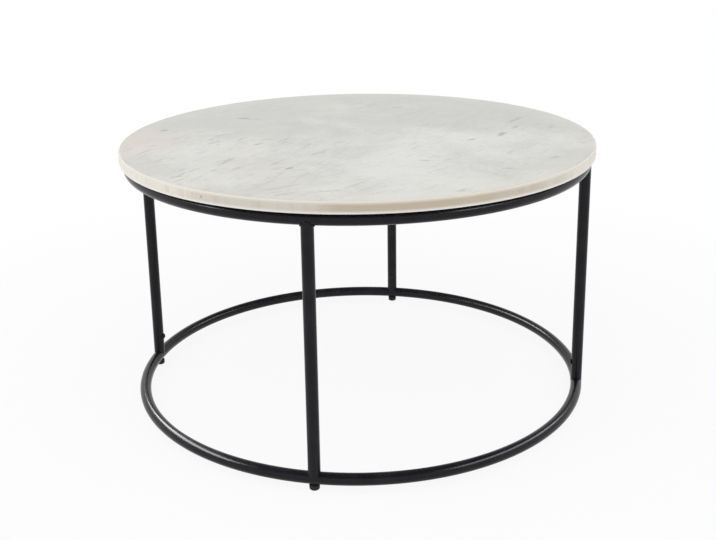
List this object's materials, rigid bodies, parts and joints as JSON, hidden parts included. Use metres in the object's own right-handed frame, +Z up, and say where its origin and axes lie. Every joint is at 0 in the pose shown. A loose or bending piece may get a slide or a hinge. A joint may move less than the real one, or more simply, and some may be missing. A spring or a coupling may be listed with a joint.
{
  "type": "round cocktail table",
  "caption": "Round low table: a polished marble disc on a black tubular frame of two rings and upright legs, with screw-in levelling feet.",
  "frame": {"origin": "on the floor, under the centre of the round top", "axes": "+Z up; the legs stand on the X and Y axes, with the front leg on -Y"},
  "size_m": [0.7999, 0.8, 0.45],
  "materials": {
    "marble": "polished",
    "powder_coat": "satin black powder coat",
    "black_screw": "black oxide",
    "steel": "zinc plated",
    "brass": "machined",
    "rubber": "matte",
    "foot_plastic": "fine moulded texture"
  },
  "bodies": {
    "frame": {"marble_top": "marble", "upper_ring": "powder_coat", "lower_ring": "powder_coat", "upper_welds": "powder_coat", "top_tabs": "powder_coat", "leg_spigots": "steel", "foot_bushes": "powder_coat", "top_washers": "steel", "leg_screws": "black_screw", "top_screws": "black_screw", "top_inserts": "brass", "top_bumpers": "rubber", "leg_front": "powder_coat", "leg_right": "powder_coat", "leg_back": "powder_coat", "leg_left": "powder_coat"},
    "front_stud": {"foot_stud_front": "steel"},
    "front_foot": {"foot_base_front": "foot_plastic", "foot_pad_front": "rubber"},
    "right_stud": {"foot_stud_right": "steel"},
    "right_foot": {"foot_base_right": "foot_plastic", "foot_pad_right": "rubber"},
    "back_stud": {"foot_stud_back": "steel"},
    "back_foot": {"foot_base_back": "foot_plastic", "foot_pad_back": "rubber"},
    "left_stud": {"foot_stud_left": "steel"},
    "left_foot": {"foot_base_left": "foot_plastic", "foot_pad_left": "rubber"}
  },
  "joints": [
    {"name": "front_foot_lift", "type": "slide", "parent": "frame", "child": "front_stud", "axis": [0, 0, -1], "range_m": [0, 0.005]},
    {"name": "front_foot_turn", "type": "hinge", "parent": "front_stud", "child": "front_foot", "pos_m": [0, -0.3845, 0.005], "axis": [0, 0, -1], "continuous": true},
    {"name": "right_foot_lift", "type": "slide", "parent": "frame", "child": "right_stud", "axis": [0, 0, -1], "range_m": [0, 0.005]},
    {"name": "right_foot_turn", "type": "hinge", "parent": "right_stud", "child": "right_foot", "pos_m": [0.3845, 0, 0.005], "axis": [0, 0, -1], "continuous": true},
    {"name": "back_foot_lift", "type": "slide", "parent": "frame", "child": "back_stud", "axis": [0, 0, -1], "range_m": [0, 0.005]},
    {"name": "back_foot_turn", "type": "hinge", "parent": "back_stud", "child": "back_foot", "pos_m": [0, 0.3845, 0.005], "axis": [0, 0, -1], "continuous": true},
    {"name": "left_foot_lift", "type": "slide", "parent": "frame", "child": "left_stud", "axis": [0, 0, -1], "range_m": [0, 0.005]},
    {"name": "left_foot_turn", "type": "hinge", "parent": "left_stud", "child": "left_foot", "pos_m": [-0.3845, 0, 0.005], "axis": [0, 0, -1], "continuous": true}
  ],
  "couplings": [
    {"joint": "front_foot_turn", "follows": "front_foot_lift", "rad_per_m": 6283.2},
    {"joint": "right_foot_turn", "follows": "right_foot_lift", "rad_per_m": 6283.2},
    {"joint": "back_foot_turn", "follows": "back_foot_lift", "rad_per_m": 6283.2},
    {"joint": "left_foot_turn", "follows": "left_foot_lift", "rad_per_m": 6283.2}
  ]
}
